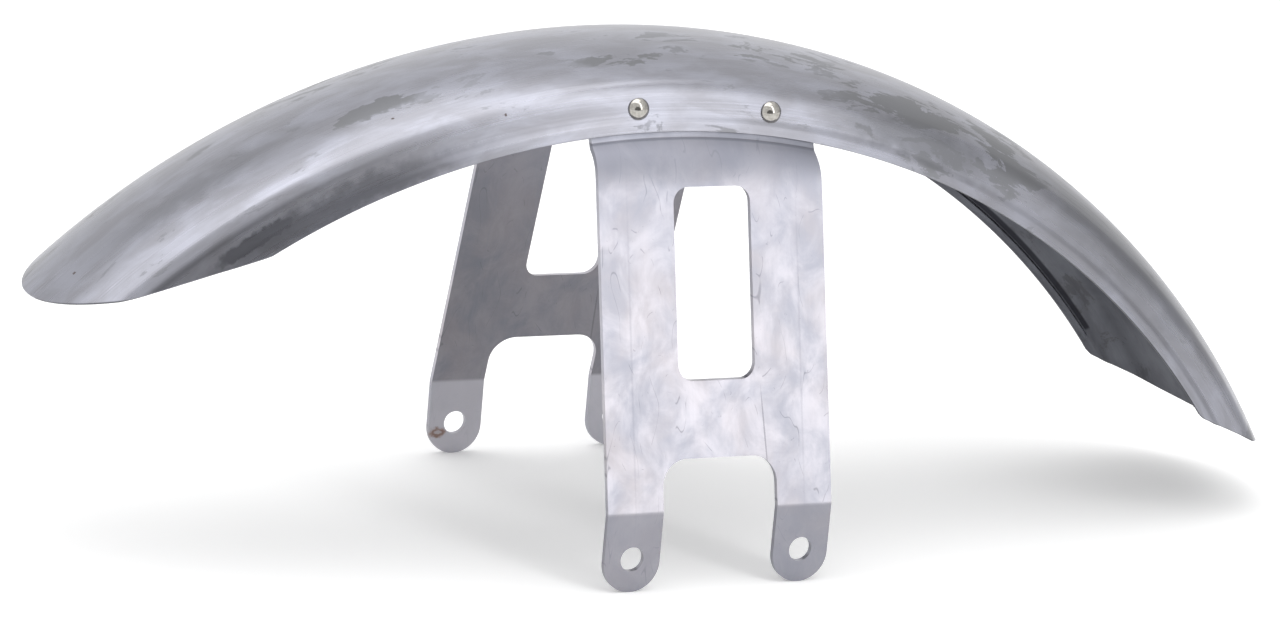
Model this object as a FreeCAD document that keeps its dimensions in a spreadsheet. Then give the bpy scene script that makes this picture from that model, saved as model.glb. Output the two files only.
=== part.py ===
import FreeCAD, Part
import math
import os
import Sketcher

# Front mudguard of a motorcycle, in bare sheet steel: a rolled blade over the wheel, and on each side
# a pressed bracket that is riveted inside the blade's wall and bolts to the fork leg by its two feet.
#
# Frame: millimetres. The mudguard stands on its four feet at Z = 0, and +Z is up. X runs along the
# machine, with the front at -X, and X = 0 is midway between the blade's two tips. Y = 0 is the middle
# of the wheel, and the machine's left side is at -Y.
#
# The blade, the brackets and the end cuts are all drawn about the wheel's axle, which is parallel to Y
# and lies below the feet, so that every body here has its own origin on that axle.

doc = FreeCAD.newDocument("front_mudguard")
sheet = doc.addObject("Spreadsheet::Sheet", "size")

# Driving dimensions, in millimetres and degrees
dimensions = [
    ("blade_radius", 364.0, "axle to the crown's outer face"),
    ("overall_height", 211.4, "feet to the top of the crown"),
    ("blade_width", 102.0, "over the outer faces of the walls, at the edge"),
    ("blade_depth", 30.7, "crown to edge, along a radius"),
    ("blade_sheet", 1.2, "thickness of the blade's sheet"),
    ("wall_slant", 13.0, "lean of the walls, which spread towards the edge"),
    ("wall_height", 13.6, "edge to the top of the flat wall, along the wall"),
    ("shoulder_radius", 11.0, "outer radius between crown and wall"),
    ("front_sweep", 44.4, "angle from the top to the crown's front tip"),
    ("rear_sweep", 60.85, "angle from the top to the crown's rear tip"),
    ("front_corner", 31.0, "angle from the top to the wall's front corner"),
    ("rear_corner", 53.3, "angle from the top to the wall's rear corner"),
    ("corner_radius", 10.0, "rounding of the wall's four corners"),
    ("hem_height", 3.7, "edge to the top of the lip that is folded in"),
    ("hem_step", 1.2, "height of the step that brings the wall flush with the lip"),
    ("hem_setback", 6.0, "bare edge between a corner and the hem's end"),
    ("hem_slant", 4.0, "how far the hem's end leans back over its height"),
    ("bracket_lead", 13.8, "middle of the brackets, behind the axle"),
    ("bracket_sheet", 2.5, "thickness of the brackets' sheet"),
    ("feet_width", 190.5, "over the outer faces of the feet"),
    ("hole_spacing", 76.2, "between the two fork holes of a bracket"),
    ("hole_radius", 5.1, "fork hole"),
    ("hole_height", 14.0, "feet to the fork holes"),
    ("leg_width", 24.8, "width of each leg, rounded at its foot"),
    ("bend_height", 33.2, "feet to the bend that starts the splay"),
    ("bend_radius", 6.0, "outer radius of that bend"),
    ("notch_height", 53.7, "feet to the top of the notch between the legs"),
    ("notch_corner", 11.0, "radius of the notch's upper corners"),
    ("window_width", 34.6, "lightening window"),
    ("window_bottom", 83.9, "feet to the window's lower side"),
    ("window_top", 159.7, "feet to the window's upper side"),
    ("window_corner", 6.5, "radius of the window's corners"),
    ("shelf_gap", 1.2, "blade's edge to the crease under it"),
    ("shelf_slope", 32.0, "fall of the shelf away from that crease"),
    ("crease_radius", 1.0, "outer radius of the crease"),
    ("brow_reach", 5.2, "flange's outer face to the plate's, at the crease"),
    ("brow_radius", 17.0, "outer radius from the shelf into the plate"),
    ("flange_drop", 15.2, "crown to the top of the riveted flange"),
    ("rivet_spacing", 60.0, "between the two rivets of a bracket"),
    ("rivet_height", 9.9, "edge to the rivets, along the wall"),
    ("rivet_shank", 2.5, "radius of the shank"),
    ("rivet_play", 0.1, "radial clearance of the shank in its holes"),
    ("rivet_head", 4.5, "radius of the domed head"),
    ("rivet_rise", 3.0, "height of the domed head"),
    ("rivet_rim", 0.5, "upright rim of the domed head"),
    ("tail_radius", 3.5, "radius of the closed head inside"),
    ("tail_rise", 1.2, "height of the closed head inside"),
    ("tail_play", 0.01, "room for the flat closed head on the rolled flange"),
    ("curl_margin", 0.3, "how far the press form runs on past the flange's top"),
]

for row, (alias, amount, meaning) in enumerate(dimensions, start=1):
    sheet.set("A%d" % row, meaning)
    sheet.set("B%d" % row, str(amount))
    sheet.setAlias("B%d" % row, alias)
doc.recompute()

# Distances that several pieces share, from the axle or from the middle plane
half_width = "(size.blade_width / 2)"
feet_level = "(size.blade_radius - size.overall_height)"
edge_radius = "(size.blade_radius - size.blade_depth)"
axle_x = "(size.blade_radius * (sin(size.front_sweep) - sin(size.rear_sweep)) / 2)"
axle_z = "(size.overall_height - size.blade_radius)"
bracket_half = "((size.hole_spacing + size.leg_width) / 2)"
far_out = "(size.blade_radius * 1.2)"


def on_wall(depth, height):
    """A point of the right wall, across and above the axle.

    The depth is square to the wall, inwards from the outer face of the hem. The height is up the wall
    from the edge.
    """
    slant = "size.wall_slant"
    across = "(%s - (%s) * cos(%s) - (%s) * sin(%s))" % (half_width, depth, slant, height, slant)
    up = "(%s - (%s) * sin(%s) + (%s) * cos(%s))" % (edge_radius, depth, slant, height, slant)
    return across, up


# The wall itself lies one sheet inside the hem's outer face, so its inner face is flush with the lip
wall_inner = "(2 * size.blade_sheet)"
shoulder_centre = on_wall("size.blade_sheet + size.shoulder_radius", "size.wall_height")
crease_corner = on_wall(wall_inner, "-size.shelf_gap")
bend_level = "(%s + size.bend_height)" % feet_level
splay = "atan((size.feet_width / 2 - %s - size.brow_reach) / (%s - %s))" % (*crease_corner, bend_level)


def number(expression):
    """The value of an expression of the sheet, as a plain number."""
    result = sheet.evalExpression(expression)
    return float(getattr(result, "Value", result))


def plane_of(body, role):
    """One of a body's own origin planes."""
    for feature in body.Origin.OriginFeatures:
        if feature.Role == role:
            return feature
    raise ValueError(role)


def new_body(name):
    """A body whose origin lies on the wheel's axle."""
    body = doc.addObject("PartDesign::Body", name)
    body.setExpression("Placement.Base.x", axle_x)
    body.setExpression("Placement.Base.z", axle_z)
    return body


def new_sketch(body, name, role):
    """An empty sketch on one of the body's origin planes."""
    sketch = body.newObject("Sketcher::SketchObject", name)
    sketch.AttachmentSupport = [(plane_of(body, role), "")]
    sketch.MapMode = "FlatFace"
    return sketch


def bind(sketch, constraint, expression):
    """Adds a dimension to a sketch and ties it to the sheet."""
    index = sketch.addConstraint(constraint)
    name = "size_%d" % index
    sketch.renameConstraint(index, name)
    sketch.setExpression("Constraints." + name, expression)


def place_point(sketch, geometry, end, across, up):
    """Ties one point of a sketch to its place from the sketch's origin."""
    for kind, axis, expression in (("DistanceX", -2, across), ("DistanceY", -1, up)):
        if expression == "0":
            sketch.addConstraint(Sketcher.Constraint("PointOnObject", geometry, end, axis))
        else:
            distance = number(expression)
            bind(sketch, Sketcher.Constraint(kind, -1, 1, geometry, end, distance), expression)


def arc_between(first, last, radius, centre_on_left):
    """The shorter arc between two points, always drawn anticlockwise."""
    middle = (first + last) * 0.5
    chord = last - first
    offset = math.sqrt(max(radius ** 2 - (chord.Length / 2) ** 2, 0.0))
    left = FreeCAD.Vector(-chord.y, chord.x, 0).normalize()
    centre = middle + left * (offset if centre_on_left else -offset)
    if not centre_on_left:
        first, last = last, first
    start = math.atan2(first.y - centre.y, first.x - centre.x)
    stop = math.atan2(last.y - centre.y, last.x - centre.x)
    circle = Part.Circle(centre, FreeCAD.Vector(0, 0, 1), radius)
    return Part.ArcOfCircle(circle, start, stop)


def draw(sketch, corners):
    """Draws a closed outline of lines and arcs.

    Each corner is (across, up) or (across, up, radius, side), where the radius is that of the arc to
    the next corner and the side, left or right of the way there, is where its centre lies.
    """
    points = [FreeCAD.Vector(number(corner[0]), number(corner[1]), 0) for corner in corners]
    ends = []
    for place, corner in enumerate(corners):
        first = points[place]
        last = points[(place + 1) % len(points)]
        if len(corner) == 2:
            geometry = sketch.addGeometry(Part.LineSegment(first, last), False)
            ends.append((geometry, 1, 2))
        else:
            on_left = corner[3] == "left"
            arc = arc_between(first, last, number(corner[2]), on_left)
            geometry = sketch.addGeometry(arc, False)
            ends.append((geometry, 1, 2) if on_left else (geometry, 2, 1))
    for place, corner in enumerate(corners):
        geometry, start, finish = ends[place]
        following, next_start, next_finish = ends[(place + 1) % len(ends)]
        sketch.addConstraint(Sketcher.Constraint("Coincident", geometry, finish, following, next_start))
        place_point(sketch, geometry, start, corner[0], corner[1])
        if len(corner) == 4:
            radius = number(corner[2])
            bind(sketch, Sketcher.Constraint("Radius", geometry, radius), corner[2])


def draw_circles(sketch, centres, radius):
    """Draws one circle of the same radius round each centre."""
    for across, up in centres:
        centre = FreeCAD.Vector(number(across), number(up), 0)
        circle = Part.Circle(centre, FreeCAD.Vector(0, 0, 1), number(radius))
        geometry = sketch.addGeometry(circle, False)
        place_point(sketch, geometry, 3, across, up)
        bind(sketch, Sketcher.Constraint("Radius", geometry, number(radius)), radius)


def both_sides(half, closing):
    """A closed outline, even about the upright axis, from its right half.

    The half's last corner carries the arc or line that leads across to the left. The closing is the
    (radius, side) of the arc that leads from the left back to the half's first corner.
    """
    left = []
    for place in range(len(half) - 1, -1, -1):
        across, up = half[place][:2]
        bend = half[place - 1][2:] if place else closing
        left.append(("-(%s)" % across, up) + tuple(bend))
    return half + left


def pocket(body, sketch, name, length=None):
    """Cuts a sketch through the body both ways, or to a stated length across the middle plane."""
    before = body.Tip.Shape.Volume
    feature = body.newObject("PartDesign::Pocket", name)
    feature.Profile = sketch
    feature.SideType = "Symmetric"
    if length is None:
        feature.Type = "ThroughAll"
    else:
        feature.Type = "Length"
        feature.setExpression("Length", length)
    doc.recompute()
    if not feature.Shape.Volume < before - 1.0:
        raise RuntimeError(name + " cuts nothing")
    return feature


def on_circle(radius, across):
    """Height above the axle of a point on a circle about it."""
    return "sqrt((%s)^2 - (%s)^2)" % (radius, across)


def rivet_place(sign):
    """Where a rivet of the right side sits: on the wall's outer face, with its own Y axis square to it."""
    out, radius = on_wall("size.blade_sheet", "size.rivet_height")
    across = "(size.bracket_lead %s size.rivet_spacing / 2)" % sign
    base = "vector(%s + %s; %s; %s + %s)" % (axle_x, across, out, axle_z, on_circle(radius, across))
    sweep = "rotation(vector(0; 1; 0); asin(%s / %s))" % (across, radius)
    lean = "rotation(vector(1; 0; 0); size.wall_slant)"
    return "placement(%s; %s * %s)" % (base, sweep, lean)


def build_drill(name, sign):
    """A cylinder as wide as a rivet's hole, which runs right through the wall and the flange."""
    drill = doc.addObject("Part::Cylinder", name)
    reach = "(2 * (size.blade_sheet + size.bracket_sheet))"
    back = "placement(vector(0; -%s; 0); rotation(vector(1; 0; 0); -90))" % reach
    drill.setExpression("Radius", "size.rivet_shank + size.rivet_play")
    drill.setExpression("Height", "2 * " + reach)
    drill.setExpression("Placement", "%s * %s" % (rivet_place(sign), back))
    return drill


def mirror(source, name):
    """The same piece on the machine's other side."""
    mirrored = doc.addObject("Part::Mirroring", name)
    mirrored.Source = source
    mirrored.Base = FreeCAD.Vector(0, 0, 0)
    mirrored.Normal = FreeCAD.Vector(0, 1, 0)
    doc.recompute()
    return mirrored


def join(name, pieces):
    """One solid or group from several."""
    joined = doc.addObject("Part::MultiFuse", name)
    joined.Shapes = pieces
    doc.recompute()
    return joined


def cut_away(name, base, tool):
    """A piece less a tool, which has to take something off it."""
    cut = doc.addObject("Part::Cut", name)
    cut.Base = base
    cut.Tool = tool
    doc.recompute()
    if not cut.Shape.Volume < base.Shape.Volume - 1.0:
        raise RuntimeError(name + " loses nothing")
    return cut


def crown_arc(radius, centre_drop):
    """The end of a crown arc where it meets the shoulder, on the line through both centres."""
    across, up = shoulder_centre
    rise = "(%s - size.blade_radius + %s)" % (up, centre_drop)
    reach = "sqrt(%s^2 + %s^2)" % (across, rise)
    level = "(size.blade_radius - %s)" % centre_drop
    return "(%s * %s / %s)" % (radius, across, reach), "(%s + %s * %s / %s)" % (level, radius, rise, reach)


def sheet_section():
    """The blade's section without its folded lips: a low crown, round shoulders, slanted walls and a step.

    The crown is one arc, whose radius follows from the shoulder: both arcs share a tangent.
    """
    thick = "size.blade_sheet"
    across, up = shoulder_centre
    drop = "(size.blade_radius - %s)" % up
    shoulder = "size.shoulder_radius"
    crown = "((%s^2 + %s^2 - %s^2) / (2 * (%s - %s)))" % (across, drop, shoulder, drop, shoulder)
    inner_crown = "(%s - %s)" % (crown, thick)
    lag = "(sqrt(size.hem_step^2 + %s^2) - size.hem_step)" % thick
    half = [
        crown_arc(crown, crown) + (shoulder, "right"),
        on_wall(thick, "size.wall_height"),
        on_wall(thick, "size.hem_height + %s + size.hem_step" % lag),
        on_wall("0", "size.hem_height + " + lag),
        on_wall("0", thick),
        on_wall(thick, "0"),
        on_wall(thick, "size.hem_height"),
        on_wall(wall_inner, "size.hem_height + size.hem_step"),
        on_wall(wall_inner, "size.wall_height") + ("(%s - %s)" % (shoulder, thick), "left"),
        crown_arc(inner_crown, crown) + (inner_crown, "left"),
    ]
    return both_sides(half, (crown, "right"))


def lip_section():
    """The lip that is folded in and pressed flat against the right wall."""
    thick = "size.blade_sheet"
    return [
        on_wall(thick, "0"),
        on_wall(thick, "size.hem_height"),
        on_wall(wall_inner, "size.hem_height"),
        on_wall(wall_inner, thick),
    ]


def end_cut(side, sweep, corner):
    """The outline that is cut off an end: all that lies below the line from wall corner to crown tip.

    The wall's corner is rounded, from a point on that line to a point on the blade's edge.
    """
    tip = ("(size.blade_radius * sin(%s))" % sweep, "(size.blade_radius * cos(%s))" % sweep)
    low = ("(%s * sin(%s))" % (edge_radius, corner), "(%s * cos(%s))" % (edge_radius, corner))
    run = ["(%s - %s)" % (a, b) for a, b in zip(tip, low)]
    span = "sqrt(%s^2 + %s^2)" % (run[0], run[1])
    opening = "((%s * sin(%s) - %s * cos(%s)) / %s)" % (run[1], corner, run[0], corner, span)
    reach = "(size.corner_radius * sqrt((1 + %s) / (1 - %s)))" % (opening, opening)
    past_tip = ["(%s + 1.5 * %s)" % (b, a) for a, b in zip(run, tip)]
    on_line = ["(%s + %s * %s / %s)" % (b, reach, a, span) for a, b in zip(run, low)]
    edge_angle = "(%s - %s / %s * 180 / pi)" % (corner, reach, edge_radius)
    on_edge = ("(%s * sin(%s))" % (edge_radius, edge_angle), "(%s * cos(%s))" % (edge_radius, edge_angle))
    below = "-size.blade_depth"
    return [
        (side + past_tip[0], past_tip[1]),
        (side + on_line[0], on_line[1], "size.corner_radius", "left" if side else "right"),
        (side + on_edge[0], on_edge[1]),
        (side + on_edge[0], below),
        (side + past_tip[0], below),
    ]


def hem_end(side, corner):
    """What is cut off the lip's end, short of a wall corner, with a slant."""
    under = "(%s - size.hem_height / 2)" % edge_radius
    over = "(%s + size.hem_height + size.blade_sheet)" % edge_radius
    bare = "(%s - size.hem_setback / %s * 180 / pi)" % (corner, edge_radius)
    slanted = "(%s - size.hem_slant / %s * 180 / pi)" % (bare, edge_radius)
    low = ("%s(%s * sin(%s))" % (side, under, bare), "%s * cos(%s)" % (under, bare))
    high = ("%s(%s * sin(%s))" % (side, over, slanted), "%s * cos(%s)" % (over, slanted))
    below = "-size.blade_depth"
    return [low, high, (side + far_out, high[1]), (side + far_out, below), (low[0], below)]


def roll_section(body, section):
    """Rolls a section half way round the axle, evenly to the front and the rear."""
    sketch = new_sketch(body, body.Name + "_section", "YZ_Plane")
    draw(sketch, section)
    roll = body.newObject("PartDesign::Revolution", body.Name + "_rolled")
    roll.Profile = sketch
    roll.ReferenceAxis = (sketch, ["H_Axis"])
    roll.Midplane = True
    roll.Angle = 180
    doc.recompute()


def cut_ends(body, outline):
    """Cuts both ends of a rolled body, each to the outline that a function gives for it."""
    for end, side in (("front", "-"), ("rear", "")):
        sketch = new_sketch(body, "%s_%s_line" % (body.Name, end), "XZ_Plane")
        draw(sketch, outline(side, end))
        pocket(body, sketch, "%s_%s_end" % (body.Name, end))


def build_blade(drills):
    """The blade, one sheet rolled about the axle, cut off slantwise at both ends and hemmed."""
    shell = new_body("blade_sheet")
    roll_section(shell, sheet_section())
    cut_ends(shell, lambda side, end: end_cut(side, "size.%s_sweep" % end, "size.%s_corner" % end))
    lip = new_body("hem_lip")
    roll_section(lip, lip_section())
    cut_ends(lip, lambda side, end: hem_end(side, "size.%s_corner" % end))
    hemmed = join("hemmed_sheet", [shell, lip, mirror(lip, "other_hem_lip")])
    holes = join("rivet_hole_drills", drills + [mirror(drill, "other_" + drill.Name) for drill in drills])
    return cut_away("blade", hemmed, holes)


def plate_profile(inset):
    """Upright profile of the bracket's block, from the middle plane out to a face of its sheet.

    The foot is upright. Above the bend the plate leans in at the splay as far as the crease's level.
    """
    face = "(size.feet_width / 2 - %s)" % inset
    bend = "(%s - %s * tan(%s / 2))" % (bend_level, inset, splay)
    radius = "(size.bend_radius - %s)" % inset
    tangent = "(%s * tan(%s / 2))" % (radius, splay)
    level = crease_corner[1]
    top_face = "(%s - (%s - %s) * tan(%s))" % (face, level, bend, splay)
    below = "(%s - size.leg_width)" % feet_level
    return [
        ("0", below),
        (face, below),
        (face, "%s - %s" % (bend, tangent), radius, "left"),
        ("%s - %s * sin(%s)" % (face, tangent, splay), "%s + %s * cos(%s)" % (bend, tangent, splay)),
        (top_face, level),
        (top_face, "size.blade_radius"),
        ("0", "size.blade_radius"),
    ]


def joggle_section(inset):
    """Section, about the axle, of what the press leaves clear outside the riveted flange.

    Going down the blade's wall: the flange's top leans in to follow the shoulder, then the flange runs
    flat down the wall to the crease, and turns out there into the shelf, which falls away under the
    blade's edge.
    """
    depth = "%s + %s" % (wall_inner, inset)
    curl = "(size.shoulder_radius - size.blade_sheet - %s)" % inset
    curl_level = "(size.blade_radius - size.flange_drop + size.curl_margin)"
    curl_rise = "(%s - %s)" % (curl_level, shoulder_centre[1])
    curl_top = "(%s + sqrt(%s^2 - %s^2))" % (shoulder_centre[0], curl, curl_rise)
    turn = "(90 - size.wall_slant - size.shelf_slope)"
    spread = "%s / (1 + cos(%s))" % (inset, turn)
    corner = [
        "(%s - (cos(size.wall_slant) + sin(size.shelf_slope)) * %s)" % (crease_corner[0], spread),
        "(%s - (sin(size.wall_slant) + cos(size.shelf_slope)) * %s)" % (crease_corner[1], spread),
    ]
    radius = "(size.crease_radius + %s)" % inset
    tangent = "(%s * tan(%s / 2))" % (radius, turn)
    on_flange = [
        "%s - %s * sin(size.wall_slant)" % (corner[0], tangent),
        "%s + %s * cos(size.wall_slant)" % (corner[1], tangent),
    ]
    on_shelf = [
        "%s + %s * cos(size.shelf_slope)" % (corner[0], tangent),
        "%s - %s * sin(size.shelf_slope)" % (corner[1], tangent),
    ]
    return [
        (far_out, far_out),
        (curl_top, far_out),
        (curl_top, curl_level),
        on_wall(depth, "size.wall_height"),
        (*on_flange, radius, "left"),
        (*on_shelf,),
        (far_out, "%s - (%s - %s) * tan(size.shelf_slope)" % (corner[1], far_out, corner[0])),
    ]


def brow_edge(shape):
    """The edge where the shelf, which is part of a cone, meets the splayed plate."""
    lean = math.radians(number(splay))
    outward = FreeCAD.Vector(0, math.cos(lean), math.sin(lean))
    for index, edge in enumerate(shape.Edges, start=1):
        faces = shape.ancestorsOfType(edge, Part.Face)
        cones = [face for face in faces if isinstance(face.Surface, Part.Cone)]
        plates = []
        for face in faces:
            if isinstance(face.Surface, Part.Plane) and face.normalAt(0, 0).getAngle(outward) < 0.01:
                plates.append(face)
        if cones and plates:
            return "Edge%d" % index
    raise RuntimeError("no brow edge found")


def build_press_form(name, inset):
    """A block with the form of one face of a pressed bracket: the foot, the plate, the brow and the flange."""
    form = new_body(name)
    profile = new_sketch(form, name + "_profile", "YZ_Plane")
    draw(profile, plate_profile(inset))
    block = form.newObject("PartDesign::Pad", name + "_block")
    block.Profile = profile
    block.SideType = "Symmetric"
    block.setExpression("Length", "4 * " + bracket_half)
    doc.recompute()
    before = block.Shape.Volume

    section = new_sketch(form, name + "_joggle", "YZ_Plane")
    draw(section, joggle_section(inset))
    joggle = form.newObject("PartDesign::Groove", name + "_flange")
    joggle.Profile = section
    joggle.ReferenceAxis = (section, ["H_Axis"])
    joggle.Midplane = True
    joggle.Angle = 180
    doc.recompute()
    if not joggle.Shape.Volume < before - 1.0:
        raise RuntimeError("the joggle cuts nothing")

    brow = form.newObject("PartDesign::Fillet", name + "_brow")
    brow.Base = (joggle, [brow_edge(joggle.Shape)])
    brow.setExpression("Radius", "size.brow_radius - " + inset)
    doc.recompute()
    return form


def bracket_outline():
    """The bracket's outline from the side: two legs with round feet, and a top that follows the blade."""
    lead = "size.bracket_lead"
    outer = bracket_half
    inner = "((size.hole_spacing - size.leg_width) / 2)"
    foot = "size.hole_spacing / 2"
    round_foot = "(size.leg_width / 2)"
    ankle = "%s + size.leg_width / 2" % feet_level
    top_radius = "(size.blade_radius - size.flange_drop)"
    notch = "%s + size.notch_height" % feet_level
    right = "%s + %s" % (lead, outer)
    left = "%s - %s" % (lead, outer)
    return [
        ("%s + %s" % (lead, foot), feet_level, round_foot, "left"),
        (right, ankle),
        (right, on_circle(top_radius, right), top_radius, "left"),
        (left, on_circle(top_radius, left)),
        (left, ankle, round_foot, "left"),
        ("%s - %s" % (lead, foot), feet_level, round_foot, "left"),
        ("%s - %s" % (lead, inner), ankle),
        ("%s - %s" % (lead, inner), "%s - size.notch_corner" % notch, "size.notch_corner", "right"),
        ("%s - %s + size.notch_corner" % (lead, inner), notch),
        ("%s + %s - size.notch_corner" % (lead, inner), notch, "size.notch_corner", "right"),
        ("%s + %s" % (lead, inner), "%s - size.notch_corner" % notch),
        ("%s + %s" % (lead, inner), ankle, round_foot, "left"),
    ]


def window_outline():
    """The lightening window, a tall rectangle with round corners."""
    low = "%s + size.window_bottom" % feet_level
    high = "%s + size.window_top" % feet_level
    front = "size.bracket_lead - size.window_width / 2"
    rear = "size.bracket_lead + size.window_width / 2"
    corner = "size.window_corner"
    return [
        ("%s + %s" % (front, corner), low),
        ("%s - %s" % (rear, corner), low, corner, "left"),
        (rear, "%s + %s" % (low, corner)),
        (rear, "%s - %s" % (high, corner), corner, "left"),
        ("%s - %s" % (rear, corner), high),
        ("%s + %s" % (front, corner), high, corner, "left"),
        (front, "%s - %s" % (high, corner)),
        (front, "%s + %s" % (low, corner), corner, "left"),
    ]


def build_bracket(drills):
    """The right bracket: the outer press form, trimmed and pierced, less the inner press form."""
    outside = build_press_form("bracket_outside", "0")
    trim = new_sketch(outside, "trim_line", "XZ_Plane")
    draw(trim, bracket_outline())
    frame_low = "-size.blade_depth"
    draw(trim, [("-" + far_out, frame_low), (far_out, frame_low), (far_out, far_out), ("-" + far_out, far_out)])
    pocket(outside, trim, "trimmed_outline")

    window = new_sketch(outside, "window_line", "XZ_Plane")
    draw(window, window_outline())
    pocket(outside, window, "window")

    holes = new_sketch(outside, "fork_hole_places", "XZ_Plane")
    level = "%s + size.hole_height" % feet_level
    centres = []
    for sign in ("-", "+"):
        centres.append(("size.bracket_lead %s size.hole_spacing / 2" % sign, level))
    draw_circles(holes, centres, "size.hole_radius")
    pocket(outside, holes, "fork_holes")

    inside = build_press_form("bracket_inside", "size.bracket_sheet")
    pressed = cut_away("pressed_bracket", outside, inside)
    return cut_away("bracket_right", pressed, join("flange_hole_drills", drills))


def rivet_profile():
    """Half section of a rivet about its own axis, with the wall's outer face at 0.

    The dome is two cones, whose corners lie on one sphere.
    """
    grip = "(size.blade_sheet + size.bracket_sheet)"
    dome_rise = "(size.rivet_rise - size.rivet_rim)"
    dome = "((size.rivet_head^2 + %s^2) / (2 * %s))" % (dome_rise, dome_rise)
    dome_middle = "(sqrt(%s^2 - (size.rivet_head / sqrt(2))^2) - %s + size.rivet_rise)" % (dome, dome)
    tail_seat = "(-%s - size.tail_play)" % grip
    tail_end = "(%s - size.tail_rise)" % tail_seat
    return [
        ("size.rivet_rise", "0"),
        (dome_middle, "size.rivet_head / sqrt(2)"),
        ("size.rivet_rim", "size.rivet_head"),
        ("0", "size.rivet_head"),
        ("0", "size.rivet_shank"),
        (tail_seat, "size.rivet_shank"),
        (tail_seat, "size.tail_radius"),
        (tail_end, "size.tail_radius"),
        (tail_end, "0"),
    ]


def build_rivet(name, sign):
    """A rivet of the right side, which holds the flange to the blade's wall, its dome outside."""
    rivet = doc.addObject("PartDesign::Body", name)
    section = new_sketch(rivet, name + "_section", "YZ_Plane")
    draw(section, rivet_profile())
    turned = rivet.newObject("PartDesign::Revolution", name + "_turned")
    turned.Profile = section
    turned.ReferenceAxis = (section, ["H_Axis"])
    turned.Angle = 360
    rivet.setExpression("Placement", rivet_place(sign))
    doc.recompute()
    return rivet


def build_all():
    """Every piece of the mudguard, in the order in which it goes together."""
    drills = [build_drill("front_drill", "-"), build_drill("rear_drill", "+")]
    bracket_right = build_bracket(drills)
    pieces = [build_blade(drills), mirror(bracket_right, "bracket_left"), bracket_right]
    for end, sign in (("front", "-"), ("rear", "+")):
        rivet = build_rivet("rivet_right_" + end, sign)
        pieces += [mirror(rivet, "rivet_left_" + end), rivet]
    doc.recompute()
    return pieces


def check_all(pieces):
    """Stops if any object failed or any piece isn't one sound solid."""
    for thing in doc.Objects:
        if "Invalid" in thing.State or "Error" in thing.State:
            raise RuntimeError("%s failed" % thing.Label)
    for piece in pieces:
        shape = piece.Shape
        if shape.isNull() or not shape.isValid() or len(shape.Solids) != 1:
            raise RuntimeError("%s isn't one sound solid" % piece.Label)


pieces = build_all()
check_all(pieces)
os.makedirs("parts", exist_ok=True)
for piece in pieces:
    piece.Shape.exportStep("parts/%s.step" % piece.Label)
    box = piece.Shape.optimalBoundingBox()
    print(piece.Label, "%.1f x %.1f x %.1f mm" % (box.XLength, box.YLength, box.ZLength), end=", ")
    print("X %.2f to %.2f, Z %.2f to %.2f" % (box.XMin, box.XMax, box.ZMin, box.ZMax), end=", ")
    print("volume %.0f mm3" % piece.Shape.Volume)
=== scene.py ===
import math

import bmesh
import bpy
from mathutils import Matrix, Vector


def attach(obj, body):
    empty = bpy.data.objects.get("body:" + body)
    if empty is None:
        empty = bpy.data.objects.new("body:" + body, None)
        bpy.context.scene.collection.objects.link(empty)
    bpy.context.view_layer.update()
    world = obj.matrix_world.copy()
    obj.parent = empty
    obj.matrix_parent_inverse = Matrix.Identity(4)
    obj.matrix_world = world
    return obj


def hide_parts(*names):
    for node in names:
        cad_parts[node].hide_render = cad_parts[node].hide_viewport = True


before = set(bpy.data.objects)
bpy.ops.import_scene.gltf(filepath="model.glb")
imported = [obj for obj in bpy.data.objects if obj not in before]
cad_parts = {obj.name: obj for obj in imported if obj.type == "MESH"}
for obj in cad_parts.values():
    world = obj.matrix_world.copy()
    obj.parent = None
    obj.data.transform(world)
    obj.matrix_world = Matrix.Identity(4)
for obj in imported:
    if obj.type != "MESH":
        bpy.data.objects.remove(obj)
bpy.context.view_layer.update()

# Front mudguard of a motorcycle, in bare sheet steel: a rolled blade, and on each side a pressed
# bracket that is riveted inside the blade's wall. Metres, the front at -X, the machine's left side
# at -Y. The brackets, the hems and the end cuts are all set out about the wheel's axle.
MM = 0.001

AXLE = Vector((-31.608 * MM, 0.0, -152.6 * MM))
BLADE_RADIUS = 364.0 * MM
EDGE_RADIUS = 333.3 * MM
HALF_WIDTH = 51.0 * MM
BLADE_SHEET = 1.2 * MM
WALL_SLANT = math.radians(13.0)
WALL_HEIGHT = 13.6 * MM
SHOULDER_RADIUS = 11.0 * MM
HEM_DEPTH = 0.5 * MM
HEM_HEIGHT = 3.7 * MM
HEM_SETBACK = 6.0 * MM
HEM_SLANT = 4.0 * MM
STEP_FOOT = 3.2 * MM
STEP_TOP = 7.0 * MM
STEP_FADE_START = math.radians(-16.0)
STEP_FADE_END = math.radians(-27.0)
CORNER_RADIUS = 10.0 * MM
FRONT_SWEEP = math.radians(44.4)
FRONT_CORNER = math.radians(31.0)
REAR_SWEEP = math.radians(60.85)
REAR_CORNER = math.radians(53.3)

BRACKET_SHEET = 2.5 * MM
BRACKET_LEAD = 13.8 * MM
BRACKET_HALF = 50.5 * MM
FEET_HALF = 95.25 * MM
HOLE_SPACING = 76.2 * MM
HOLE_RADIUS = 5.1 * MM
HOLE_HEIGHT = 14.0 * MM
LEG_WIDTH = 24.8 * MM
BEND_HEIGHT = 33.2 * MM
BEND_RADIUS = 6.0 * MM
NOTCH_HEIGHT = 53.7 * MM
NOTCH_CORNER = 11.0 * MM
WINDOW_WIDTH = 34.6 * MM
WINDOW_BOTTOM = 83.9 * MM
WINDOW_TOP = 159.7 * MM
WINDOW_CORNER = 6.5 * MM
SHELF_GAP = 2.3 * MM
SHELF_SLOPE = math.radians(32.0)
BROW_REACH = 5.2 * MM
BROW_FOOT = 158.0 * MM
FLANGE_DROP = 15.2 * MM

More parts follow.
